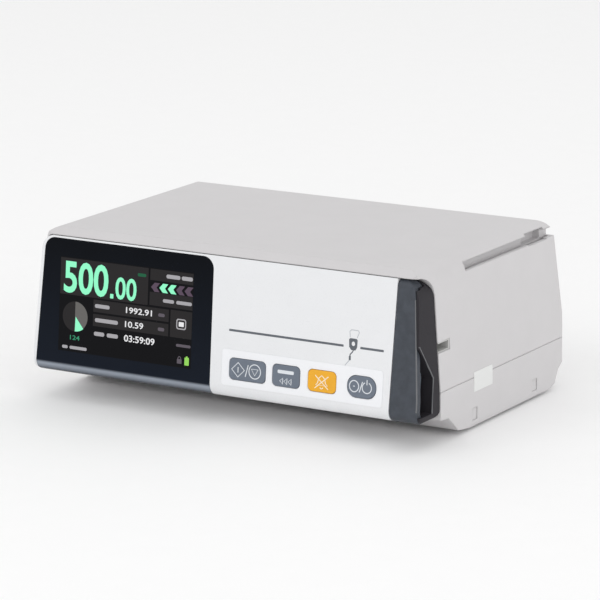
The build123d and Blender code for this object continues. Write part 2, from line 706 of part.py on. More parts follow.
with BuildPart() as motor_shaft:
    add(rod(MOTOR_SHAFT_R, PULLEY_X[0] - 1.5, 26.0, MOTOR_Y, TUBE_Z))

motor_shaft.part.label = "motor_shaft"
export_step(motor_shaft.part, "parts/motor_shaft.step")

with BuildPart() as stepper_motor:
    with BuildSketch(Plane.YZ.offset(MOTOR_FACE_X)):
        with Locations((MOTOR_Y, TUBE_Z)):
            RectangleRounded(42.3, 42.3, 5)
    extrude(amount=34)
    add(rod(11, MOTOR_FACE_X - 2, MOTOR_FACE_X, MOTOR_Y, TUBE_Z))
    add(rod(MOTOR_SHAFT_R + RUN_FIT, 0, 26.5, MOTOR_Y, TUBE_Z), mode=Mode.SUBTRACT)

stepper_motor.part.label = "stepper_motor"
export_step(stepper_motor.part, "parts/stepper_motor.step")

with BuildPart() as motor_bracket:
    add(block(6.0, 8.0, MOTOR_Y - 21, MOTOR_Y + 21, 4.1, 78.0))
    add(block(8.0, 24.0, MOTOR_Y - 21, MOTOR_Y + 21, 4.1, 6.1))
    add(rod(11, 5, 9, MOTOR_Y, TUBE_Z), mode=Mode.SUBTRACT)

motor_bracket.part.label = "motor_bracket"
export_step(motor_bracket.part, "parts/motor_bracket.step")

with BuildPart() as drive_belt:
    for grow, mode in ((1.4, Mode.ADD), (BELT_FIT, Mode.SUBTRACT)):
        with BuildSketch(Plane.YZ.offset(PULLEY_X[0] + 0.8)) as loop:
            with Locations((CAM_Y, TUBE_Z)):
                Circle(CAM_PULLEY_R + grow)
            with Locations((MOTOR_Y, TUBE_Z)):
                Circle(MOTOR_PULLEY_R + grow)
            make_hull()
        extrude(amount=4.4, mode=mode)

drive_belt.part.label = "drive_belt"
export_step(drive_belt.part, "parts/drive_belt.step")

# ---------------------------------------------------------------- electronics and rear panel
with BuildPart() as main_board:
    add(block(-110, 110, -44, 66, BOARD_TOP_Z - 1.6, BOARD_TOP_Z))
    for x, y, w, d, h in (
        (-60, 20, 24, 24, 2.2), (-20, 26, 14, 14, 1.6), (30, 10, 18, 12, 2.0), (70, 30, 20, 20, 5.0),
        (-78, 60, 30, 6, 7.0), (50, 60, 40, 6, 7.0), (-88, -20, 12, 20, 3.0),
    ):
        add(block(x - w / 2, x + w / 2, y - d / 2, y + d / 2, BOARD_TOP_Z, BOARD_TOP_Z + h))
    for x, y in ((88, -10), (88, 4), (46, 36)):
        add(pillar(4, x, y, BOARD_TOP_Z, BOARD_TOP_Z + 8))

main_board.part.label = "main_board"
export_step(main_board.part, "parts/main_board.step")

with BuildPart() as power_supply:
    add(block(20, 100, 34, 62, 10.0, 11.6))
    for x in (24, 96):
        for y in (38, 58):
            add(pillar(2.5, x, y, 4.0, 10.0))
    add(block(32, 58, 38, 58, 11.6, 31.0))
    add(block(88, 91, 36, 60, 11.6, 34.0))
    for y in (42, 54):
        add(pillar(5.5, 74, y, 11.6, 31.6))

power_supply.part.label = "power_supply"
export_step(power_supply.part, "parts/power_supply.step")

with BuildPart() as mains_inlet:
    add(block(INLET_X - 15.3, INLET_X + 15.3, 80.0, 82.4, INLET_Z - 12.0, INLET_Z + 12.0))
    fillet(mains_inlet.edges().filter_by(Axis.Y), 2.0)
    add(block(INLET_X - 13.6, INLET_X + 13.6, 62.5, 80.0, INLET_Z - 9.9, INLET_Z + 9.9))
    with BuildSketch(Plane.XZ.offset(-82.4)):
        with Locations((INLET_X, INLET_Z)):
            Rectangle(24.0, 16.4)
    extrude(amount=17.4, mode=Mode.SUBTRACT)
    for x, z in ((-7, -1.5), (7, -1.5), (0, 2.5)):
        add(block(INLET_X + x - 1, INLET_X + x + 1, 64, 76.6, INLET_Z + z - 2, INLET_Z + z + 2))

mains_inlet.part.label = "mains_inlet"
export_step(mains_inlet.part, "parts/mains_inlet.step")

with BuildPart() as data_port:
    add(block(PORT_X - 8.0, PORT_X + 8.0, 62.0, 80.6, PORT_Z - 6.8, PORT_Z + 6.8))
    add(block(PORT_X - 5.9, PORT_X + 5.9, 68.0, 81, PORT_Z - 4.2, PORT_Z + 3.8), mode=Mode.SUBTRACT)

data_port.part.label = "data_port"
export_step(data_port.part, "parts/data_port.step")

with BuildPart() as speaker:
    add(post(16.0, SPEAKER_X, 74.5, 80.0, SPEAKER_Z))
    add(post(9.0, SPEAKER_X, 69.0, 74.5, SPEAKER_Z))
    add(post(13.5, SPEAKER_X, 78.0, 80.5, SPEAKER_Z), mode=Mode.SUBTRACT)

speaker.part.label = "speaker"
export_step(speaker.part, "parts/speaker.step")

with BuildPart() as mount_plate:
    with BuildSketch(Plane.XZ.offset(-80.0)):
        with Locations(PLATE_MID):
            RectangleRounded(60, 28, 2.5)
            with GridLocations(*PLATE_PITCH, 2, 2):
                Circle(PLATE_HOLE_R, mode=Mode.SUBTRACT)
    extrude(amount=-3.0)

mount_plate.part.label = "mount_plate"
export_step(mount_plate.part, "parts/mount_plate.step")

# ---------------------------------------------------------------- the door
DOOR_BACK_Y = HOOD_ARC_Y + HOOD_ARC_R - DOOR_GAP
PLATE_THICK = 2.5
PLATE_X = (-126.0, 107.5)
PLATE_Z = (27.5, 83.5)
DOOR_POSTS = ((-124.6, 33), (-124.6, 57), (-9.5, 31), (-9.5, 81.5), (58, 76), (101, 60))
SADDLE_X = (-100.0, -40.0, 40.0, 95.0)
KEYWAY_HALF = HINGE_BRACKET_W / 2 + 0.6
BOSS_W = 6.5
zone_fit = fascia_zone(FASCIA_FIT)
shell_end = end_zone(0)
fascia_seat = (door_outer - door_form(FASCIA_THICK + FASCIA_FIT)) & zone_fit
end_wall = (end_zone(-2.4) - shell_end) & door_outer

with BuildPart() as door_shell:
    add(door_outer)
    add(door_inner, mode=Mode.SUBTRACT)
    add(end_wall)
    for x in HINGE_X:
        boss_x = KEYWAY_HALF + BOSS_W
        add(block(x - boss_x, x + boss_x, -76.5, -60, 10, 26.5) & door_outer)
    for x in SADDLE_X:
        saddle = block(x - 2, x + 2, -82, -72.5, LEVER_Z - 2.6, LEVER_Z + 5) & door_outer
        add(saddle)
    for x, z in DOOR_POSTS:
        add(post(2.6, x, front_y(z) + 1.9, DOOR_BACK_Y - PLATE_THICK, z))
    add(shell_end, mode=Mode.SUBTRACT)
    add(fascia_seat, mode=Mode.SUBTRACT)
    with BuildSketch(on_front(-2)):
        with Locations((SCREEN_X, up(MODULE_Z) - 0.2)):
            Rectangle(MODULE_W + 0.6, MODULE_H + 0.6)
    extrude(amount=-8, mode=Mode.SUBTRACT)
    for name, x, w, r in KEYS:
        with BuildSketch(on_front(-2)):
            with Locations((x, up(KEY_Z))):
                RectangleRounded(w + 2 * KEY_FIT, KEY_H + 2 * KEY_FIT, r)
        extrude(amount=-8, mode=Mode.SUBTRACT)
    add(block(*PLATE_X, DOOR_BACK_Y - DOOR_WALL - 0.1, -60, *PLATE_Z), mode=Mode.SUBTRACT)
    for x in HINGE_X:
        add(block(x - KEYWAY_HALF, x + KEYWAY_HALF, -74.2, -60, 10, 25.6), mode=Mode.SUBTRACT)
        bore_x = KEYWAY_HALF + BOSS_W - 1.0
        add(rod(HINGE_PIN_R, x - bore_x, x + bore_x, HINGE_Y, HINGE_Z), mode=Mode.SUBTRACT)
    shaft_way = rod(LATCH_SHAFT_R + RUN_FIT, LATCH_SHAFT_X[0] - 0.4, 120, LEVER_Y, LEVER_Z)
    add(shaft_way, mode=Mode.SUBTRACT)
    for x in HOOK_X:
        hub_way = rod(HOOK_HUB_R + 0.2, x - HOOK_W / 2 - 0.4, x + HOOK_W / 2 + 0.4, LEVER_Y, LEVER_Z)
        add(hub_way, mode=Mode.SUBTRACT)
        top_way = block(x - 1.7, x + 1.7, LEVER_Y, -60, 62.0, LEVER_Z - 1)
        add(top_way, mode=Mode.SUBTRACT)
    for x, z in DOOR_POSTS:
        add(post(1.1, x, DOOR_BACK_Y - 9, DOOR_BACK_Y, z), mode=Mode.SUBTRACT)

door_shell.part.label = "door_shell"
export_step(door_shell.part, "parts/door_shell.step")

with BuildPart() as display_fascia:
    add(fascia_skin & fascia_zone(0))

display_fascia.part.label = "display_fascia"
export_step(display_fascia.part, "parts/display_fascia.step")

MODULE_FACE = FASCIA_THICK + 0.3
with BuildPart() as display_module:
    with BuildSketch(on_front(MODULE_FACE)):
        with Locations((SCREEN_X, up(MODULE_Z) - 0.2)):
            RectangleRounded(MODULE_W, MODULE_H, 1.0)
    extrude(amount=-MODULE_THICK)
    with BuildSketch(on_front(MODULE_FACE + MODULE_THICK)):
        with Locations((SCREEN_X, up(MODULE_Z))):
            RectangleRounded(MODULE_W - 8, MODULE_H - 8, 2.0)
    extrude(amount=-0.5)

display_module.part.label = "display_module"
export_step(display_module.part, "parts/display_module.step")

with BuildPart() as display_board:
    with BuildSketch(on_front(6.6)):
        with Locations((SCREEN_X, up(55.0))):
            Rectangle(96, 52)
    extrude(amount=-1.2)
    with BuildSketch(on_front(7.8)):
        for x, z, w, h in ((-100, 60, 14, 14), (-98, 38, 20, 8), (-72, 76, 30, 5), (-82, 38, 6, 12)):
            with Locations((x, up(z))):
                Rectangle(w, h)
    extrude(amount=-1.4)

display_board.part.label = "display_board"
export_step(display_board.part, "parts/display_board.step")

with BuildPart() as key_overlay:
    with BuildSketch(on_front(-OVERLAY_PROUD)):
        with Locations((sum(OVERLAY_X) / 2, up(sum(OVERLAY_Z) / 2))):
            RectangleRounded(OVERLAY_X[1] - OVERLAY_X[0], OVERLAY_Z[1] - OVERLAY_Z[0], 2.0)
        for name, x, w, r in KEYS:
            with Locations((x, up(KEY_Z))):
                RectangleRounded(w + 2 * KEY_FIT, KEY_H + 2 * KEY_FIT, r, mode=Mode.SUBTRACT)
    extrude(amount=-OVERLAY_PROUD)

key_overlay.part.label = "key_overlay"
export_step(key_overlay.part, "parts/key_overlay.step")

for name, x, w, r in KEYS:
    with BuildPart() as key:
        with BuildSketch(on_front(-KEY_PROUD)):
            with Locations((x, up(KEY_Z))):
                RectangleRounded(w, KEY_H, r)
        extrude(amount=-(KEY_PROUD + KEY_DEEP))
        fillet(key.faces().sort_by(Axis.Y)[0].edges(), 0.5)
        with BuildSketch(on_front(DOOR_WALL + 0.2)):
            with Locations((x, up(KEY_Z))):
                RectangleRounded(w + 2.2, KEY_H + 2.2, r)
        extrude(amount=-(KEY_DEEP - DOOR_WALL - 0.2))
    key.part.label = name
    export_step(key.part, f"parts/{name}.step")

with BuildPart() as keypad_board:
    with BuildSketch(on_front(6.4)):
        with Locations((54.0, up(34.6))):
            Rectangle(103, 15.5)
    extrude(amount=-1.6)
    for name, x, w, r in KEYS:
        with BuildSketch(on_front(KEY_DEEP + KEY_TRAVEL + 0.1)):
            with Locations((x, up(KEY_Z))):
                Circle(3.2)
        extrude(amount=-(6.4 - KEY_DEEP - KEY_TRAVEL - 0.1))

keypad_board.part.label = "keypad_board"
export_step(keypad_board.part, "parts/keypad_board.step")

PLATEN_Z = (51.0, 61.0)
PLATEN_X = (-53.0, -7.0)
PLATEN_TRAVEL = 1.5
CUP_Y = -74.6
SPRING_X = (-46.0, -36.0, -24.0, -14.0)
SPRING_SEAT_Y = (-73.3, -61.5)

with BuildPart() as door_back_plate:
    add(
        block(
            PLATE_X[0] + 0.2, PLATE_X[1] - 0.2, DOOR_BACK_Y - PLATE_THICK, DOOR_BACK_Y,
            PLATE_Z[0] + 0.2, PLATE_Z[1] - 0.2,
        )
    )
    cup = block(PLATEN_X[0] - 3.7, PLATEN_X[1] + 3.7, CUP_Y, DOOR_BACK_Y - 1, 47.4, 64.6)
    add(cup)
    hollow = block(PLATEN_X[0] - 2.2, PLATEN_X[1] + 2.2, CUP_Y + 1.2, DOOR_BACK_Y - 2.5, 48.9, 63.1)
    add(hollow, mode=Mode.SUBTRACT)
    mouth = block(
        PLATEN_X[0] - 0.4, PLATEN_X[1] + 0.4, -72, -60, PLATEN_Z[0] - 0.4, PLATEN_Z[1] + 0.4
    )
    add(mouth, mode=Mode.SUBTRACT)
    for x in HOOK_X:
        add(block(x - 5.0, x + 3.0, -70, -60, 62.6, 90), mode=Mode.SUBTRACT)
    for x, z in DOOR_POSTS:
        add(post(1.3, x, -70, -60, z), mode=Mode.SUBTRACT)

door_back_plate.part.label = "door_back_plate"
export_step(door_back_plate.part, "parts/door_back_plate.step")

with BuildPart() as platen:
    add(block(*PLATEN_X, -66.0, -57.5, *PLATEN_Z))
    chamfer(platen.faces().sort_by(Axis.Y)[-1].edges().filter_by(Axis.X), 1.0)
    flange = block(PLATEN_X[0] - 1.8, PLATEN_X[1] + 1.8, -68.6, -66.8, 49.3, 62.7)
    add(flange)
    add(block(*PLATEN_X, -67, -65.5, *PLATEN_Z))
    for x in SPRING_X:
        add(post(3.2, x, -70, SPRING_SEAT_Y[1], TUBE_Z - 0.1), mode=Mode.SUBTRACT)

platen.part.label = "platen"
export_step(platen.part, "parts/platen.step")

SPRING_WIRE = 0.35
SPRING_R = 2.4
SPRING_END_Y = SPRING_SEAT_Y[1] - PLATEN_TRAVEL - 0.2
spring_span = SPRING_END_Y - SPRING_SEAT_Y[0] - 2 * SPRING_WIRE
with BuildPart() as spring:
    with BuildLine() as coil:
        Helix(pitch=spring_span / 6, height=spring_span, radius=SPRING_R)
    with BuildSketch(Plane(coil.line @ 0, z_dir=coil.line % 0)):
        Circle(SPRING_WIRE)
    sweep(is_frenet=True)

with BuildPart() as platen_springs:
    for x in SPRING_X:
        seat = Pos(x, SPRING_SEAT_Y[0] + SPRING_WIRE, TUBE_Z - 0.1) * Rot(-90, 0, 0)
        add(seat * spring.part)

platen_springs.part.label = "platen_springs"
export_step(platen_springs.part, "parts/platen_springs.step")

with BuildPart() as hinge_pins:
    for x in HINGE_X:
        pin_x = KEYWAY_HALF + BOSS_W - 1.2
        add(rod(HINGE_PIN_R, x - pin_x, x + pin_x, HINGE_Y, HINGE_Z))

hinge_pins.part.label = "hinge_pins"
export_step(hinge_pins.part, "parts/hinge_pins.step")

with BuildPart() as door_screws:
    for x, z in DOOR_POSTS:
        add(post(1.1, x, DOOR_BACK_Y - 8, DOOR_BACK_Y, z))
        add(post(2.2, x, DOOR_BACK_Y, DOOR_BACK_Y + 0.4, z))

door_screws.part.label = "door_screws"
export_step(door_screws.part, "parts/door_screws.step")

# ---------------------------------------------------------------- dark end and release lever
RECESS_FLOOR_X = 121.0
CHIN_Y = -79.2
LEVER_TOP_R = 9.0
LEVER_HUB_EDGE = 3.5  # from the side of the door to the hub's right end
LEVER_EDGE = 2.4  # from the side of the door to the lever's right edge
LEVER_TOP_Z = LEVER_Z + LEVER_HUB_R
HUB_X = (end_line(LEVER_Z) + LEVER_GAP, half_width(LEVER_Z) - LEVER_HUB_EDGE)


def lever_zone(grow):
    """The lever's outline, grown by this much, run through the whole depth of the door."""
    with BuildPart() as zone:
        with BuildSketch(Plane.XZ) as outline:
            with BuildLine():
                Polyline(
                    (end_line(10) + LEVER_GAP, 10),
                    (end_line(LEVER_TOP_Z) + LEVER_GAP, LEVER_TOP_Z),
                    (half_width(LEVER_TOP_Z) - LEVER_EDGE, LEVER_TOP_Z),
                    (half_width(SEAM_Z) - LEVER_EDGE, SEAM_Z),
                    (half_width(SEAM_Z) - LEVER_EDGE, 10),
                    close=True,
                )
            make_face()
            if grow:
                offset(amount=grow, kind=Kind.INTERSECTION)
            else:
                fillet(outline.vertices().group_by(Axis.Y)[-1].sort_by(Axis.X)[-1], LEVER_TOP_R)
        extrude(amount=DEPTH_SPAN)
    return zone.part


lever_band = door_outer - door_side(LEVER_THICK)
cap_band = (door_outer - door_side(LEVER_THICK + LEVER_GAP)) & lever_zone(LEVER_GAP)
hub_room = (end_line(LEVER_Z) - 2, HUB_X[1] + 2 * LEVER_GAP)

with BuildPart() as door_end_cap:
    add(door_outer & end_zone(0.25))
    add(cap_band & block(100, 140, -100, CHIN_Y + LEVER_GAP, 10, 40), mode=Mode.SUBTRACT)
    add(cap_band & block(100, 140, -100, -74.0, 22, LEVER_Z), mode=Mode.SUBTRACT)
    add(rod(LEVER_HUB_R + 0.4, *hub_room, LEVER_Y, LEVER_Z), mode=Mode.SUBTRACT)
    add(block(*hub_room, -95, LEVER_Y + LEVER_HUB_R + 0.4, LEVER_Z, 105), mode=Mode.SUBTRACT)
    add(block(*hub_room, -95, LEVER_Y, LEVER_Z - 6, LEVER_Z + 1), mode=Mode.SUBTRACT)
    with BuildSketch(Plane.YZ.offset(RECESS_FLOOR_X)):
        with BuildLine():
            Polyline(
                (-95.0, 61.2),
                (-84.3, 61.2),
                (-69.8, 40.5),
                (-72.6, 20.6),
                (-95.0, 20.6),
                close=True,
            )
        make_face()
    extrude(amount=20, mode=Mode.SUBTRACT)
    add(block(108, RECESS_FLOOR_X - 2.5, -75.0, -66.6, 28, 82), mode=Mode.SUBTRACT)

door_end_cap.part.label = "door_end_cap"
export_step(door_end_cap.part, "parts/door_end_cap.step")

with BuildPart() as release_lever:
    add(lever_band & block(100, 140, -100, CHIN_Y, 10, LEVER_Z))
    add(lever_band & block(100, 140, -100, -74.5, 22, LEVER_Z))
    add(rod(LEVER_HUB_R, *HUB_X, LEVER_Y, LEVER_Z))
    add(block(*HUB_X, -79.8, LEVER_Y, LEVER_Z - 5, LEVER_Z))
    add(lever_zone(0), mode=Mode.INTERSECT)
    add(rod(LATCH_SHAFT_R, 100, 120, LEVER_Y, LEVER_Z), mode=Mode.SUBTRACT)

release_lever.part.label = "release_lever"
export_step(release_lever.part, "parts/release_lever.step")

with BuildPart() as latch_shaft:
    add(rod(LATCH_SHAFT_R, *LATCH_SHAFT_X, LEVER_Y, LEVER_Z))

latch_shaft.part.label = "latch_shaft"
export_step(latch_shaft.part, "parts/latch_shaft.step")

HOOK_TIP_Z = 79.5
with BuildPart() as latch_hooks:
    for x in HOOK_X:
        with BuildSketch(Plane.YZ.offset(x - HOOK_W / 2)):
            with BuildLine():
                Polyline(
                    (LEVER_Y + 0.5, LEVER_Z - 2.0),
                    (-72.6, 85.0),
                    (-68.5, 76.0),
                    (-63.0, 73.6),
                    (-52.2, 73.6),
                    (-52.2, HOOK_TIP_Z),
                    (-54.2, HOOK_TIP_Z),
                    (-54.2, HOOK_TIP_Z - 1.2),
                    (-62.0, HOOK_TIP_Z - 1.2),
                    (-67.0, 84.0),
                    (LEVER_Y + 3.0, LEVER_Z),
                    close=True,
                )
            make_face()
            with Locations((LEVER_Y, LEVER_Z)):
                Circle(HOOK_HUB_R)
                Circle(LATCH_SHAFT_R, mode=Mode.SUBTRACT)
        extrude(amount=HOOK_W)

latch_hooks.part.label = "latch_hooks"
export_step(latch_hooks.part, "parts/latch_hooks.step")
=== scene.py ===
import json
from math import cos, pi, radians, sin

import bpy
from mathutils import Matrix, Vector


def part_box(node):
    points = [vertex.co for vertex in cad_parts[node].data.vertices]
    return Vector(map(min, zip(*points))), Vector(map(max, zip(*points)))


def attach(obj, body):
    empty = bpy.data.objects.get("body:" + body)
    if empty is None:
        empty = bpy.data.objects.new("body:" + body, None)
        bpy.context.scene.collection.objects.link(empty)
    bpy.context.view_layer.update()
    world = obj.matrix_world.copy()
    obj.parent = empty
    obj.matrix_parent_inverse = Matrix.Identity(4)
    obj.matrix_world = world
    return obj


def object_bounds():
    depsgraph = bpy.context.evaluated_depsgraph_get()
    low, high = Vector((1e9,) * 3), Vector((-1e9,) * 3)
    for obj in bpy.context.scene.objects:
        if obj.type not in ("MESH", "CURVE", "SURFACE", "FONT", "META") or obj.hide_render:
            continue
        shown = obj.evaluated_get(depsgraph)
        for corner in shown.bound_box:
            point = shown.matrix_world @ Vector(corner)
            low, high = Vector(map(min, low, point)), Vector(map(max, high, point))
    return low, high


# The looks of a bedside infusion pump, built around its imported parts. Metres; +X is to the user's
# right, +Y to the rear, +Z up. Layouts on the door's face are in millimetres, see face_box().
MM = 0.001

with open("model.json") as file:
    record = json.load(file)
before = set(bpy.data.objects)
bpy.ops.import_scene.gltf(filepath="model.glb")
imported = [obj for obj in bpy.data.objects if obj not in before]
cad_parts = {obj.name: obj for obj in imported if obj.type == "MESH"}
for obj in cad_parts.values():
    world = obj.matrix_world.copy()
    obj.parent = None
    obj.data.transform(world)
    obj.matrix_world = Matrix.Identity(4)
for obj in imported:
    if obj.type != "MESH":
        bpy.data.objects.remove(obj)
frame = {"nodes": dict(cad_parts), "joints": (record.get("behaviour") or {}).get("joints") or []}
cad_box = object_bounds()
nodes = frame["nodes"]


# ---------------------------------------------------------------- materials
def linear(r, g, b):
    """An sRGB colour, 0 to 255, as linear RGBA."""
    channels = [c / 255 for c in (r, g, b)]
    return tuple(c / 12.92 if c <= 0.04045 else ((c + 0.055) / 1.055) ** 2.4 for c in channels) + (1.0,)


class Nodes:
    """A short way to write a material's node tree."""

    def __init__(self, name):
        self.material = bpy.data.materials.new(name)
        self.material.use_nodes = True
        self.tree = self.material.node_tree
        self.shader = self.tree.nodes["Principled BSDF"]
        self.place = self.make("ShaderNodeTexCoord").outputs["Object"]

    def make(self, kind, **settings):
        node = self.tree.nodes.new(kind)
        for key, value in settings.items():
            setattr(node, key, value)
        return node

    def link(self, source, target):
        self.tree.links.new(source, target)

    def noise(self, size_mm, detail=3.0, stretch=(1, 1, 1), roughness=0.55):
        """Noise whose blobs are about this large; stretch draws them out along an axis."""
        mapping = self.make("ShaderNodeMapping")
        mapping.inputs["Scale"].default_value = [1 / (size_mm * MM * s) for s in stretch]
        noise = self.make("ShaderNodeTexNoise")
        noise.inputs["Scale"].default_value = 1.0
        noise.inputs["Detail"].default_value = detail
        noise.inputs["Roughness"].default_value = roughness
        self.link(self.place, mapping.inputs["Vector"])
        self.link(mapping.outputs["Vector"], noise.inputs["Vector"])
        return noise.outputs["Fac"]

    def remap(self, value, low, high, to_low, to_high):
        node = self.make("ShaderNodeMapRange")
        limits = {"From Min": low, "From Max": high, "To Min": to_low, "To Max": to_high}
        for socket, number in limits.items():
            node.inputs[socket].default_value = number
        self.link(value, node.inputs["Value"])
        return node.outputs["Result"]

    def times(self, a, b):
        node = self.make("ShaderNodeMath", operation="MULTIPLY")
        self.link(a, node.inputs[0])
        self.link(b, node.inputs[1])
        return node.outputs["Value"]

    def blend(self, factor, a, b):
        """Colour a where factor is 0 and colour b where it is 1; either may be a colour or a socket."""
        node = self.make("ShaderNodeMix", data_type="RGBA")
        self.link(factor, node.inputs["Factor"])
        for socket, value in ((node.inputs[6], a), (node.inputs[7], b)):
            if isinstance(value, bpy.types.NodeSocket):
                self.link(value, socket)
            else:
                socket.default_value = value
        return node.outputs[2]


def scaled(colour, factor):
    return tuple(min(1.0, c * factor) for c in colour[:3]) + (1.0,)


def surface(
    name, colour, roughness, grain=(0.5, 0.01), mottle=0.04, edge=(0.35, 1.25), metallic=0.0,
    specular=0.5, coat=0.0, stretch=(1, 1, 1), patch_mm=18.0,
):
    """A moulded, painted or metal finish: slow colour mottling, a fine grain in bump and roughness,
    and softened edges whose colour is brought to edge[1] times the base colour, a painted edge highlight
    where that is above 1, broken up as uneven wear."""
    n = Nodes(name)
    soft = n.make("ShaderNodeBevel", samples=4)
    soft.inputs["Radius"].default_value = edge[0] * MM
    flat = n.make("ShaderNodeNewGeometry").outputs["Normal"]
    likeness = n.make("ShaderNodeVectorMath", operation="DOT_PRODUCT")
    n.link(soft.outputs["Normal"], likeness.inputs[0])
    n.link(flat, likeness.inputs[1])
    rim = n.remap(likeness.outputs["Value"], 0.985, 0.8, 0.0, 1.0)
    # Edges are brought to edge[1] times the colour: a painted edge highlight where that is above 1, broken
    # up by noise as uneven wear.
    edge_wear_and_highlight = n.times(rim, n.remap(n.noise(3.0), 0.35, 0.65, 0.45, 1.0))
    slow = n.remap(n.noise(patch_mm, 4.0), 0.3, 0.7, 0.0, 1.0)
    body = n.blend(slow, scaled(colour, 1 - mottle), scaled(colour, 1 + mottle))
    n.link(n.blend(edge_wear_and_highlight, body, scaled(colour, edge[1])), n.shader.inputs["Base Color"])
    fine = n.noise(grain[0], 2.0, stretch)
    dull = n.remap(fine, 0.3, 0.7, roughness * 0.88, min(1.0, roughness * 1.12))
    n.link(dull, n.shader.inputs["Roughness"])
    bump = n.make("ShaderNodeBump")
    bump.inputs["Distance"].default_value = grain[1] * MM
    bump.inputs["Strength"].default_value = 1.0
    n.link(fine, bump.inputs["Height"])
    n.link(soft.outputs["Normal"], bump.inputs["Normal"])
    n.link(bump.outputs["Normal"], n.shader.inputs["Normal"])
    n.shader.inputs["Metallic"].default_value = metallic
    n.shader.inputs["Specular IOR Level"].default_value = specular
    n.shader.inputs["Coat Weight"].default_value = coat
    n.shader.inputs["Coat Roughness"].default_value = 0.08
    return n


def glow(name, colour):
    """A lit part of the display, under the same anti-glare glass as the rest: the pixels' light
    varies very slightly from place to place."""
    n = Nodes(name)
    n.shader.inputs["Base Color"].default_value = (0.004, 0.004, 0.005, 1)
    n.shader.inputs["Specular IOR Level"].default_value = GLASS_SPECULAR
    cells = n.remap(n.noise(0.4, 1.0), 0.3, 0.7, 0.0, 1.0)
    n.link(n.blend(cells, scaled(colour, 0.94), scaled(colour, 1.0)), n.shader.inputs["Emission Color"])
    n.shader.inputs["Emission Strength"].default_value = 1.0
    n.link(n.remap(n.noise(30.0), 0.3, 0.7, 0.10, 0.16), n.shader.inputs["Roughness"])
    return n


GLASS_SPECULAR = 0.06
CASE_GREY = linear(206, 204, 205)
DOOR_WHITE = linear(232, 233, 235)
GLASS_BLACK = linear(9, 12, 18)
PAINTED_BEND_SHEEN = linear(150, 157, 168)
LEVER_GREY = linear(70, 74, 81)
END_GREY = linear(47, 45, 49)
KEY_GREY = linear(104, 113, 126)
KEY_AMBER = linear(238, 172, 26)
PRINT_GREY = linear(92, 97, 104)
ICON_PALE = linear(222, 226, 231)
MINT = linear(150, 255, 205)

# Each finish's edge is (radius in mm, colour factor at the edges); a factor above 1 paints a highlight
# along the edges.
case_plastic = surface("case_plastic", CASE_GREY, 0.52, (0.45, 0.012), 0.012, (1.1, 1.12), specular=0.4)
door_white = surface("door_white", DOOR_WHITE, 0.3, (0.7, 0.002), 0.01, (0.4, 1.04), coat=0.25)
overlay_white = surface("overlay_white", linear(241, 242, 245), 0.36, (0.35, 0.003), 0.008, (0.2, 0.9))
key_grey = surface("key_grey", KEY_GREY, 0.42, (0.3, 0.006), 0.04, (0.4, 1.25))
key_amber = surface("key_amber", KEY_AMBER, 0.42, (0.3, 0.006), 0.04, (0.4, 1.1))
lever_plastic = surface(
    "lever_plastic", LEVER_GREY, 0.5, (0.5, 0.03), 0.13, (0.7, 1.9), specular=0.2, stretch=(1, 1, 2.5),
    patch_mm=5.0,
)
end_plastic = surface("end_plastic", END_GREY, 0.55, (0.5, 0.015), 0.06, (0.8, 2.2), specular=0.15)
# Light plastic for the beads that paint edge highlights.
painted_highlight_plastic = surface(
    "painted_highlight_plastic", linear(112, 113, 116), 0.45, (0.5, 0.01), 0.08, (0.3, 1.2), specular=0.3
)
guide_plastic = surface("guide_plastic", linear(196, 196, 194), 0.5, (0.4, 0.008), 0.04, (0.4, 1.1))
# Coloured much lighter than the real dark patch: painted light, so the patch shows lit in the shaded
# recess.
grip_plastic_painted_light = surface(
    "grip_plastic_painted_light", linear(112, 122, 131), 0.62, (0.8, 0.05), 0.2, (0.3, 1.5), patch_mm=2.4
)
rubber = surface("rubber", linear(62, 64, 65), 0.85, (0.35, 0.03), 0.1, (0.4, 1.2))
label_film = surface("label_film", linear(226, 227, 226), 0.34, (0.5, 0.002), 0.01, (0.1, 1.0))
inner_plastic = surface("inner_plastic", linear(138, 142, 147), 0.55, (0.5, 0.012), 0.04, (0.4, 1.2))
finger_plastic = surface("finger_plastic", linear(214, 213, 205), 0.4, (0.5, 0.006), 0.03, (0.3, 1.05))
dark_inner = surface("dark_inner", linear(52, 56, 61), 0.5, (0.5, 0.012), 0.06, (0.4, 1.5))
socket_black = surface("socket_black", linear(34, 35, 37), 0.45, (0.4, 0.01), 0.08, (0.4, 1.8))
steel = surface(
    "steel", linear(186, 188, 191), 0.3, (0.3, 0.004), 0.06, (0.25, 1.15), 1.0, stretch=(9, 1, 1)
)
aluminium = surface(
    "aluminium", linear(198, 200, 203), 0.36, (0.3, 0.006), 0.05, (0.3, 1.1), 1.0, stretch=(1, 9, 1)
)
brass = surface("brass", linear(205, 172, 98), 0.3, (0.3, 0.004), 0.06, (0.2, 1.2), 1.0, stretch=(1, 9, 1))
motor_black = surface("motor_black", linear(44, 44, 47), 0.4, (0.5, 0.01), 0.08, (0.5, 1.8))
belt_rubber = surface("belt_rubber", linear(30, 30, 31), 0.75, (0.4, 0.03), 0.1, (0.3, 1.4))
battery_wrap = surface("battery_wrap", linear(52, 84, 148), 0.3, (1.5, 0.02), 0.06, (0.8, 1.2), coat=0.3)
circuit_board = surface(
    "circuit_board", linear(22, 92, 54), 0.4, (0.9, 0.03), 0.3, (0.2, 1.6), patch_mm=1.6
)
printed_ink = surface("printed_ink", PRINT_GREY, 0.5, (0.3, 0.004), 0.05, (0.1, 1.0))
pale_ink = surface("pale_ink", linear(186, 190, 195), 0.5, (0.3, 0.004), 0.03, (0.1, 1.0))
icon_ink = surface("icon_ink", ICON_PALE, 0.5, (0.3, 0.004), 0.03, (0.1, 1.0))
amber_ink = surface("amber_ink", linear(255, 236, 206), 0.5, (0.3, 0.004), 0.02, (0.1, 1.0))

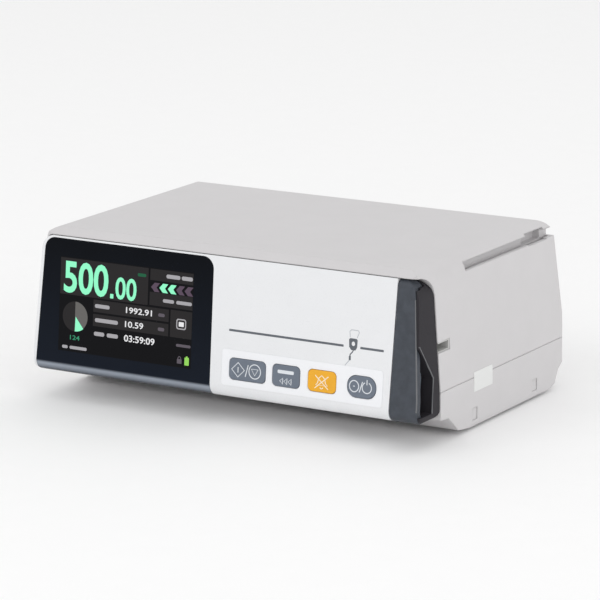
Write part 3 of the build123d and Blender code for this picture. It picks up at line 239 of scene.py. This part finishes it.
display_black = glow("display_black", linear(5, 5, 6))
display_panel = glow("display_panel", linear(40, 38, 38))
display_mint = glow("display_mint", MINT)
display_teal = glow("display_teal", linear(58, 150, 112))
display_dim = glow("display_dim", linear(34, 96, 66))
display_violet = glow("display_violet", linear(92, 76, 92))
display_grey = glow("display_grey", linear(104, 102, 100))
display_word = glow("display_word", linear(170, 168, 172))
display_faint = glow("display_faint", linear(96, 90, 98))
display_white = glow("display_white", linear(236, 236, 238))
display_green = glow("display_green", linear(150, 216, 96))


CAST_TOP = 0.095  # the height where the glass's blue cast starts
PAINTED_SHEEN_PEAK = 0.72  # how far up the bent edge the painted sheen is strongest


def fascia_glass(chin_top, chin_bottom):
    """Near-black glass with a faint blue cast that is stronger lower down, and a painted reflection: a
    light sheen painted into the colour along its bent lower edge, between these heights in metres."""
    n = surface(
        "fascia_glass", GLASS_BLACK, 0.09, (0.9, 0.0006), 0.1, (0.3, 2.2), specular=GLASS_SPECULAR
    )
    below = n.shader.inputs["Base Color"].links[0].from_socket
    height = n.make("ShaderNodeSeparateXYZ")
    n.link(n.place, height.inputs["Vector"])
    z = height.outputs["Z"]
    cast = n.remap(z, CAST_TOP, chin_top, 0.0, 0.5)
    tinted = n.blend(cast, below, linear(30, 37, 50))
    middle = chin_bottom + (chin_top - chin_bottom) * PAINTED_SHEEN_PEAK
    rise = n.make("ShaderNodeMapRange", interpolation_type="SMOOTHSTEP")
    rise.inputs["From Min"].default_value = chin_bottom
    rise.inputs["From Max"].default_value = middle
    n.link(z, rise.inputs["Value"])
    fall = n.make("ShaderNodeMapRange", interpolation_type="SMOOTHSTEP")
    fall.inputs["From Min"].default_value = chin_top
    fall.inputs["From Max"].default_value = middle
    n.link(z, fall.inputs["Value"])
    painted_sheen = n.times(rise.outputs["Result"], fall.outputs["Result"])
    # Painted reflection: the bent edge's sheen is laid into the base colour.
    n.link(n.blend(painted_sheen, tinted, PAINTED_BEND_SHEEN), n.shader.inputs["Base Color"])
    return n


CHIN_HEIGHT = 7.4 * MM  # of the glass's bent lower edge
chin_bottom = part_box("display_fascia")[0].z
glass = fascia_glass(chin_bottom + CHIN_HEIGHT, chin_bottom)

FINISHES = {
    case_plastic: ["upper_case", "lower_case", "battery_cover"],
    door_white: ["door_shell"],
    glass: ["display_fascia", "display_module"],
    overlay_white: ["key_overlay"],
    key_grey: ["key_start", "key_bolus", "key_power"],
    key_amber: ["key_alarm"],
    lever_plastic: ["release_lever"],
    end_plastic: ["door_end_cap"],
    rubber: ["rubber_feet"],
    label_film: ["seal_label"],
    inner_plastic: ["front_frame", "door_back_plate"],
    finger_plastic: [f"finger_{i + 1}" for i in range(8)] + ["platen"],
    dark_inner: ["bubble_sensor", "tube_clamp", "shaft_pulley", "speaker"],
    socket_black: ["mains_inlet", "data_port"],
    steel: [
        "case_screws", "door_screws", "mount_plate", "latch_keepers", "hinge_brackets", "hinge_pins",
        "latch_shaft", "latch_hooks", "camshaft", "shaft_bearings", "motor_shaft", "platen_springs",
        "pressure_sensor",
    ],
    guide_plastic: ["tube_guides"],
    aluminium: ["mechanism_frame", "motor_bracket"],
    brass: ["motor_pulley"],
    motor_black: ["stepper_motor"],
    belt_rubber: ["drive_belt"],
    battery_wrap: ["battery_pack"],
    circuit_board: ["main_board", "power_supply", "display_board", "keypad_board"],
}
for finish, members in FINISHES.items():
    for member in members:
        mesh = nodes[member].data
        mesh.materials.clear()
        mesh.materials.append(finish.material)


# ---------------------------------------------------------------- the door's face
# A face layout is in millimetres: x as in the frame, y up the slope of the face, and out from it.
key_joint = next(j for j in frame["joints"] if j["name"] == "start_key_press")
outward = -Vector(key_joint["axis"]).normalized()
upward = outward.cross(Vector((1, 0, 0)))
face_distance = max(v.co.dot(outward) for v in nodes["display_fascia"].data.vertices)
face_origin = Vector((0, face_distance / outward.y, 0))
face_axes = Matrix(((1, 0, 0), upward, outward)).transposed().to_4x4()
FACE = Matrix.Translation(face_origin) @ face_axes @ Matrix.Scale(MM, 4)
TO_FACE = FACE.inverted()


def face_box(node):
    """(left, bottom, right, top, furthest out) of a node in face millimetres."""
    points = [TO_FACE @ v.co for v in nodes[node].data.vertices]
    xs, ys = [p.x for p in points], [p.y for p in points]
    return min(xs), min(ys), max(xs), max(ys), max(p.z for p in points)


def finish_piece(name, curve, matrix, material, body):
    """Turns a curve into a mesh piece, placed by matrix, that rides on a body."""
    temporary = bpy.data.objects.new(name + "_curve", curve)
    bpy.context.scene.collection.objects.link(temporary)
    bpy.context.view_layer.update()
    evaluated = temporary.evaluated_get(bpy.context.evaluated_depsgraph_get())
    mesh = bpy.data.meshes.new_from_object(evaluated)
    bpy.data.objects.remove(temporary)
    mesh.transform(matrix)
    mesh.materials.clear()
    mesh.materials.append(material.material)
    piece = bpy.data.objects.new(name, mesh)
    bpy.context.scene.collection.objects.link(piece)
    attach(piece, body)
    return piece


def add_outline(curve, points, closed=True):
    spline = curve.splines.new("POLY")
    spline.points.add(len(points) - 1)
    for point, (x, y) in zip(spline.points, points):
        point.co = (x, y, 0, 1)
    spline.use_cyclic_u = closed


def filled(
    name, outlines, material, body="door", out=0.05, sunk=0.15, matrix=FACE
):
    """Flat art: closed outlines, where one inside another is a hole, from sunk below the surface
    to out above it."""
    curve = bpy.data.curves.new(name, "CURVE")
    curve.dimensions = "2D"
    curve.fill_mode = "BOTH"
    curve.extrude = (out + sunk) / 2
    for points in outlines:
        add_outline(curve, points)
    place = matrix @ Matrix.Translation((0, 0, (out - sunk) / 2))
    return finish_piece(name, curve, place, material, body)


STROKE_HEIGHT = 0.1  # a drawn line stands this much proud


def strokes(name, lines, width, material, body, out):
    """Line art: open or closed lines drawn with a round pen and pressed flat."""
    curve = bpy.data.curves.new(name, "CURVE")
    curve.dimensions = "3D"
    curve.bevel_depth = width / 2
    curve.bevel_resolution = 2
    curve.use_fill_caps = True
    for points, closed in lines:
        add_outline(curve, points, closed)
    squeeze = Matrix.Translation((0, 0, out)) @ Matrix.Scale(STROKE_HEIGHT / width, 4, (0, 0, 1))
    return finish_piece(name, curve, FACE @ squeeze, material, body)


def digits(name, text, left, bottom, right, top, material, weight=0.0, out=0.07):
    """Numerals set to fill this rectangle exactly."""
    curve = bpy.data.curves.new(name, "FONT")
    curve.body = text
    curve.offset = weight
    curve.resolution_u = 4
    curve.extrude = 0.01
    probe = bpy.data.objects.new(name + "_probe", curve)
    bpy.context.scene.collection.objects.link(probe)
    bpy.context.view_layer.update()
    corners = [Vector(c) for c in probe.bound_box]
    bpy.data.objects.remove(probe)
    x0, x1 = min(c.x for c in corners), max(c.x for c in corners)
    y0, y1 = min(c.y for c in corners), max(c.y for c in corners)
    fit = (
        Matrix.Translation((left, bottom, out - 0.05))
        @ Matrix.Diagonal(((right - left) / (x1 - x0), (top - bottom) / (y1 - y0), 5.0, 1))
        @ Matrix.Translation((-x0, -y0, 0))
    )
    return finish_piece(name, curve, FACE @ fit, material, "door")


def oval(x, y, rx, ry, start=0, end=360, steps=40):
    """Points round an ellipse, from one angle to another in degrees."""
    turns = [radians(start + (end - start) * i / steps) for i in range(steps + (end - start < 360))]
    return [(x + rx * cos(t), y + ry * sin(t)) for t in turns]


def rounded(left, bottom, right, top, r):
    """A rectangle with round corners."""
    corners = (
        (right - r, top - r, 0), (left + r, top - r, 90),
        (left + r, bottom + r, 180), (right - r, bottom + r, 270),
    )
    return [p for x, y, a in corners for p in oval(x, y, r, r, a, a + 90, 5)]


def moved(points, x, y):
    return [(px + x, py + y) for px, py in points]


# ---------------------------------------------------------------- the display
LIT_W, LIT_H = 93.6, 56.2
LIT_RISE = 1.9  # the lit area sits this much above the middle of the module
left, bottom, right, top, _ = face_box("display_module")
SCREEN_LEFT = (left + right) / 2 - LIT_W / 2
SCREEN_BOTTOM = (bottom + top) / 2 + LIT_RISE - LIT_H / 2


def on_screen(outlines):
    return [moved(points, SCREEN_LEFT, SCREEN_BOTTOM) for points in outlines]


def screen_art(name, outlines, material, out=0.05):
    return filled("screen_" + name, on_screen(outlines), material, out=out)


def screen_digits(name, text, box, material, weight=0.0):
    (left, bottom), (right, top) = moved((box[:2], box[2:]), SCREEN_LEFT, SCREEN_BOTTOM)
    return digits("screen_" + name, text, left, bottom, right, top, material, weight)


def bar(left, bottom, right, top):
    """A plain bar that stands where a word would, rounded at its ends."""
    shrink = (top - bottom) * 0.16
    return rounded(left, bottom + shrink, right, top - shrink, (top - bottom) * 0.3)


screen_art("background", [rounded(0, 0, LIT_W, LIT_H, 0.4)], display_black, 0.02)
screen_art("rate_panel", [rounded(0.3, 33.9, 62.3, 55.6, 0.3)], display_panel)
screen_art("drug_panel", [rounded(63.6, 48.9, LIT_W - 0.2, 55.6, 0.3)], display_panel)
screen_art("mode_panel", [rounded(63.6, 34.2, LIT_W - 0.2, 42.0, 0.3)], display_panel)
volume_rows = [rounded(24.3, y0, 77.3, y1, 0.3) for y0, y1 in ((25.6, 32.9), (17.2, 24.4))]
screen_art("volume_rows", volume_rows, display_panel)
screen_art("picture_panel", [rounded(78.5, 17.2, LIT_W - 0.2, 33.1, 0.3)], display_panel)

screen_digits("rate_whole", "500", (2.8, 34.9, 34.4, 54.0), display_mint, 0.022)
screen_art("rate_point", [rounded(35.9, 34.9, 38.2, 37.6, 0.3)], display_mint, 0.07)
screen_digits("rate_fraction", "00", (39.5, 34.9, 54.3, 48.1), display_mint, 0.018)
screen_art("rate_unit", [bar(54.8, 49.6, 60.8, 52.4)], display_dim, 0.07)
screen_art("drug_name", [bar(74.8, 50.5, 84.4, 53.9), bar(85.4, 50.5, 93.0, 53.9)], display_word, 0.07)
screen_art("mode_name", [bar(72.9, 36.2, 80.6, 39.2), bar(82.2, 36.2, 92.9, 39.2)], display_word, 0.07)

CHEVRON_PITCH = 5.8
CHEVRON = [(0, 0), (2.4, 2.7), (6.0, 2.7), (3.8, 0), (6.0, -2.6), (2.4, -2.6)]
for i in range(5):
    x0 = 64.4 + CHEVRON_PITCH * i
    colour = display_mint if i in (1, 2) else display_violet
    screen_art(f"chevron_{i + 1}", [moved(CHEVRON, x0, 44.9)], colour, 0.07)

GAUGE_X, GAUGE_Y, GAUGE_R = 11.5, 21.2, 8.9
screen_art("gauge_left", [oval(GAUGE_X, GAUGE_Y, GAUGE_R, GAUGE_R, 90, 270)], display_panel)
screen_art("gauge_right", [oval(GAUGE_X, GAUGE_Y, GAUGE_R, GAUGE_R, -90, 90)], display_grey)
WEDGE_X, WEDGE_R = GAUGE_X + 0.4, GAUGE_R - 0.1
wedge = [(WEDGE_X, GAUGE_Y)] + oval(WEDGE_X, GAUGE_Y, WEDGE_R, WEDGE_R, -92, -50, 10)
screen_art("gauge_wedge", [wedge], display_mint, 0.09)
screen_digits("pressure", "124", (8.3, 7.2, 15.1, 9.9), display_teal, 0.01)
screen_art("pressure_unit", [bar(2.8, 1.2, 6.8, 3.9), bar(8.2, 1.2, 20.4, 3.9)], display_word, 0.07)

ROWS = ((27.6, 30.9, 25.4, 35.8, 47.4, 65.6, "1992.91"), (19.2, 22.6, 25.7, 42.0, 47.0, 59.8, "10.59"))
for i, (y0, y1, word0, word1, number0, number1, text) in enumerate(ROWS):
    screen_art(f"row_{i + 1}_name", [bar(word0, y0, word1, y1)], display_word, 0.07)
    number_box = (number0, y0 - 0.1, number1, y1 + 0.2)
    screen_digits(f"row_{i + 1}_number", text, number_box, display_white, 0.015)
    screen_art(f"row_{i + 1}_unit", [bar(70.0, y0, 74.5, y1 - 0.4)], display_faint, 0.07)
screen_art("row_3_name", [bar(25.3, 11.0, 32.6, 14.5), bar(34.4, 11.0, 42.3, 14.5)], display_word, 0.07)
screen_digits("row_3_number", "03:59:09", (46.6, 10.6, 68.0, 14.6), display_white, 0.015)

picture_frame = [rounded(82.7, 22.2, 89.5, 28.4, 1.4), rounded(83.4, 22.9, 88.8, 27.7, 1.0)]
screen_art("picture_frame", picture_frame, display_word, 0.07)
screen_art("picture", [rounded(84.4, 23.9, 87.9, 26.6, 0.3)], display_white, 0.07)
screen_art("mode_bar", [bar(83.0, 11.6, 93.0, 14.0)], display_faint, 0.07)
shackle = oval(85.6, 4.9, 1.25, 1.7, 0, 180, 10) + oval(85.6, 4.9, 0.75, 1.15, 180, 0, 10)
screen_art("lock", [rounded(84.0, 2.2, 87.2, 4.9, 0.3), shackle], display_faint, 0.07)
battery = [rounded(89.2, 1.7, 92.2, 6.3, 0.3), rounded(90.1, 6.3, 91.3, 7.0, 0.1)]
screen_art("battery", battery, display_green, 0.07)

# ---------------------------------------------------------------- printing on the white panel
overlay_left, _, _, overlay_top, _ = face_box("key_overlay")
LINE_RISE = 11.2  # from the key overlay's top to the printed line
LINE_Y = overlay_top + LINE_RISE
LINE_W = 1.3


def panel_print(name, outlines, material):
    return filled(name, outlines, material, out=0.03)


LINE_SPANS = ((4.0, 80.3), (91.2, 106.4))  # either side of the drip chamber
for i, (x0, x1) in enumerate(LINE_SPANS):
    line = rounded(overlay_left + x0, LINE_Y - LINE_W / 2, overlay_left + x1, LINE_Y + LINE_W / 2, 0.3)
    panel_print(f"printed_line_{i + 1}", [line], printed_ink)

DRIP_X, DRIP_Y = overlay_left + 86.6, LINE_Y + 2.4


def panel_line(name, points, width, material):
    """An open line printed beside the drip chamber."""
    line = [(moved(points, DRIP_X, DRIP_Y), False)]
    return strokes(name, line, width, material, "door", 0.0)


bowl = [
    (-2.9, 1.6), (-2.6, -2.6), (-1.2, -4.3), (1.4, -4.3),
    (2.5, -2.6), (2.7, 1.6), (2.0, 2.4), (-2.2, 2.4),
]
window = oval(0, -0.6, 1.1, 1.3, steps=16)
panel_print("drip_chamber", [moved(bowl, DRIP_X, DRIP_Y), moved(window, DRIP_X, DRIP_Y)], printed_ink)
cap_line = [(-2.2, 3.0), (-2.6, 6.2), (-1.6, 7.2), (2.8, 7.2), (3.6, 6.2), (2.4, 3.0)]
panel_line("drip_chamber_cap", cap_line, 0.5, pale_ink)
tube_line = [(0.2, -4.3), (-0.6, -5.6), (-1.8, -6.8), (-1.9, -8.0)]
panel_line("drip_tube", tube_line, 0.7, printed_ink)
roller = rounded(-2.6, -10.2, -1.3, -7.6, 0.4)
panel_print("drip_roller", [moved(roller, DRIP_X, DRIP_Y)], printed_ink)
tail_line = [(-2.2, -10.2), (-3.4, -11.6), (-4.9, -13.4)]
panel_line("drip_tail", tail_line, 0.5, pale_ink)

# ---------------------------------------------------------------- key symbols
PEN = 0.62


def key_middle(node):
    x0, y0, x1, y1, out = face_box(node)
    return (x0 + x1) / 2, (y0 + y1) / 2, out


def key_lines(name, node, body, lines, material=icon_ink, width=PEN):
    x, y, out = key_middle(node)
    placed = [(moved(points, x, y), closed) for points, closed in lines]
    return strokes(name, placed, width, material, body, out)


def key_fill(name, node, body, outlines):
    x, y, out = key_middle(node)
    placed = [moved(points, x, y) for points in outlines]
    return filled(name, placed, icon_ink, body, out + 0.05, 0.15 - out)


key_lines("start_symbol", "key_start", "start_key", [
    ([(-10.4, -0.2), (-6.1, 4.0), (-1.8, -0.2), (-6.1, -4.4)], True),
    ([(-6.1, 1.4), (-6.1, -1.8)], False),
    ([(0.7, 3.3), (-1.1, -3.7)], False),
    (oval(5.2, -0.1, 3.9, 4.1), True),
    ([(2.9, 1.3), (7.4, 1.3), (5.2, -2.4)], True),
])
ARROW = [(2.0, -1.2), (0, -3.0), (2.0, -4.8), (2.0, -3.9), (2.0, -2.1)]
chevrons = [(moved(ARROW, x, 0), True) for x in (-3.9, -1.1, 1.7)]
key_lines("bolus_symbol", "key_bolus", "bolus_key", chevrons, width=0.5)
key_fill("bolus_bar", "key_bolus", "bolus_key", [rounded(-5.5, 1.3, 5.3, 3.3, 0.6)])
bell = [(-3.9, -2.3), (-2.6, -1.0), (-2.0, 1.6), (0, 3.4), (2.0, 1.6), (2.6, -1.0), (3.9, -2.3)]
key_lines("alarm_symbol", "key_alarm", "alarm_key", [
    (bell, True),
    (oval(0, -3.4, 0.9, 0.8, 180, 360, 8), False),
    ([(-4.4, 3.2), (4.4, -4.2)], False),
    ([(4.4, 3.2), (-4.4, -4.2)], False),
], amber_ink)
key_lines("power_symbol", "key_power", "power_key", [
    (oval(-4.7, 0.1, 3.0, 3.2), True),
    ([(-5.2, 0.1), (-4.2, 0.1)], False),
    ([(0.7, 3.2), (-1.2, -3.0)], False),
    (oval(3.6, 0.0, 3.0, 3.1, 115, 425), False),
    ([(3.6, 4.6), (3.6, 1.6)], False),
])

# ---------------------------------------------------------------- the dark end of the door
# The finger recess has a gripping patch on its floor, coloured lighter than the real patch as painted
# light in the shaded recess, and a light bead along its rim that is a painted edge highlight; the lever's
# free edge has a painted highlight bead as well. Outlines are (y, z) in millimetres, on planes that face
# sideways.
SIDEWAYS = Matrix(((0, 0, MM, 0), (MM, 0, 0, 0), (0, MM, 0, 0), (0, 0, 0, 1)))
RECESS_FLOOR_X = 121.0
RECESS_EDGE = ((-83.4, 61.2), (-69.8, 40.5), (-72.6, 20.6))
SIDE_FOOT = 30.5  # the height where the door's side starts to lean in
SIDE_LEAN = 0.0645
SIDE_X = 131.6
GRIP_HEIGHT = 2.6

patch = [(-79.1, 54.0), (-71.2, 42.0), (-70.9, 40.4), (-73.5, 21.6), (-79.2, 21.6)]
lift = Matrix.Translation((0, 0, RECESS_FLOOR_X))
floor_plane = SIDEWAYS @ lift
filled("grip_patch", [patch], grip_plastic_painted_light, out=GRIP_HEIGHT, matrix=floor_plane)


def side_x(z):
    """How far out the side of the door is at height z."""
    return SIDE_X - SIDE_LEAN * max(0.0, z - SIDE_FOOT)


def rim_line(name, points, radius, body):
    """A painted edge highlight: a thin round bead of light plastic through these points, in frame
    millimetres.
    """
    curve = bpy.data.curves.new(name, "CURVE")
    curve.dimensions = "3D"
    curve.bevel_depth = radius
    curve.bevel_resolution = 2
    curve.use_fill_caps = True
    spline = curve.splines.new("POLY")
    spline.points.add(len(points) - 1)
    for point, place in zip(spline.points, points):
        point.co = (*place, 1)
    return finish_piece(name, curve, Matrix.Scale(MM, 4), painted_highlight_plastic, body)


# A light bead along the recess edge: a painted edge highlight.
rim_line("recess_painted_highlight", [(side_x(z) - 0.25, y, z) for y, z in RECESS_EDGE], 0.4, "door")
LEVER_EDGE = 2.0  # from the side of the door to the lever's right edge
FACE_LEAN, FACE_FOOT_Y = 0.096, -89.376
EDGE_INSET = 0.3  # the bead's middle lies this far inside the lever's edge
edge = [
    (side_x(z) - LEVER_EDGE - EDGE_INSET, FACE_FOOT_Y + FACE_LEAN * z + EDGE_INSET, z)
    for z in (24.0, SIDE_FOOT, 60.0, 87.0)
]
# A light bead along the lever's right edge: a painted edge highlight.
rim_line("lever_painted_highlight", edge, 0.42, "lever")

# ---------------------------------------------------------------- floor, light and camera
FLOOR_HALF = 9.0
bpy.ops.mesh.primitive_grid_add(x_subdivisions=4, y_subdivisions=4, size=2 * FLOOR_HALF)
floor = bpy.context.object
floor.name = "floor"
floor.location.z = cad_box[0][2] - 0.0002
paper = surface("studio_paper", (0.97, 0.97, 0.97, 1), 0.8, (2.0, 0.01), 0.004, (0.1, 1.0), specular=0.2)
floor.data.materials.append(paper.material)

world = bpy.data.worlds.new("studio")
world.use_nodes = True
world.node_tree.nodes["Background"].inputs["Color"].default_value = (1.0, 1.0, 1.0, 1)
world.node_tree.nodes["Background"].inputs["Strength"].default_value = 0.86
bpy.context.scene.world = world


LIGHT_AIM = Vector((0, 0, 0.05))


def softbox(name, place, size, power):
    light = bpy.data.lights.new(name, "AREA")
    light.shape = "RECTANGLE"
    light.size, light.size_y = size
    light.energy = power
    lamp = bpy.data.objects.new(name, light)
    lamp.location = place
    lamp.rotation_euler = (Vector(place) - LIGHT_AIM).to_track_quat("Z", "Y").to_euler()
    bpy.context.scene.collection.objects.link(lamp)


softbox("key_light", (-1.2, -2.2, 1.9), (1.6, 1.2), 11)
softbox("top_light", (0.3, 0.3, 2.4), (2.2, 2.2), 3)
softbox("side_fill", (2.2, -0.6, 0.8), (1.4, 1.4), 7)

CAMERA_AZIMUTH = radians(31.515)
CAMERA_ELEVATION = radians(13.442)
CAMERA_ROLL = radians(-0.578)
CAMERA_DISTANCE = 2.0826
CAMERA_AIM = Vector((0.0000124, 0.0014988, 0.0553189))
CAMERA_LENS = 210.17

back = Vector((
    sin(CAMERA_AZIMUTH) * cos(CAMERA_ELEVATION),
    -cos(CAMERA_AZIMUTH) * cos(CAMERA_ELEVATION),
    sin(CAMERA_ELEVATION),
))
camera = bpy.data.objects.new("camera", bpy.data.cameras.new("camera"))
camera.data.lens = CAMERA_LENS
camera.data.sensor_width = 36.0
camera.location = CAMERA_AIM + back * CAMERA_DISTANCE
upright = Vector((0, 0, 1)).cross(back).normalized()
camera.rotation_euler = (
    Matrix((upright, back.cross(upright), back)).transposed() @ Matrix.Rotation(CAMERA_ROLL, 3, "Z")
).to_euler()
bpy.context.scene.collection.objects.link(camera)
bpy.context.scene.camera = camera
bpy.context.scene.view_settings.view_transform = "Standard"
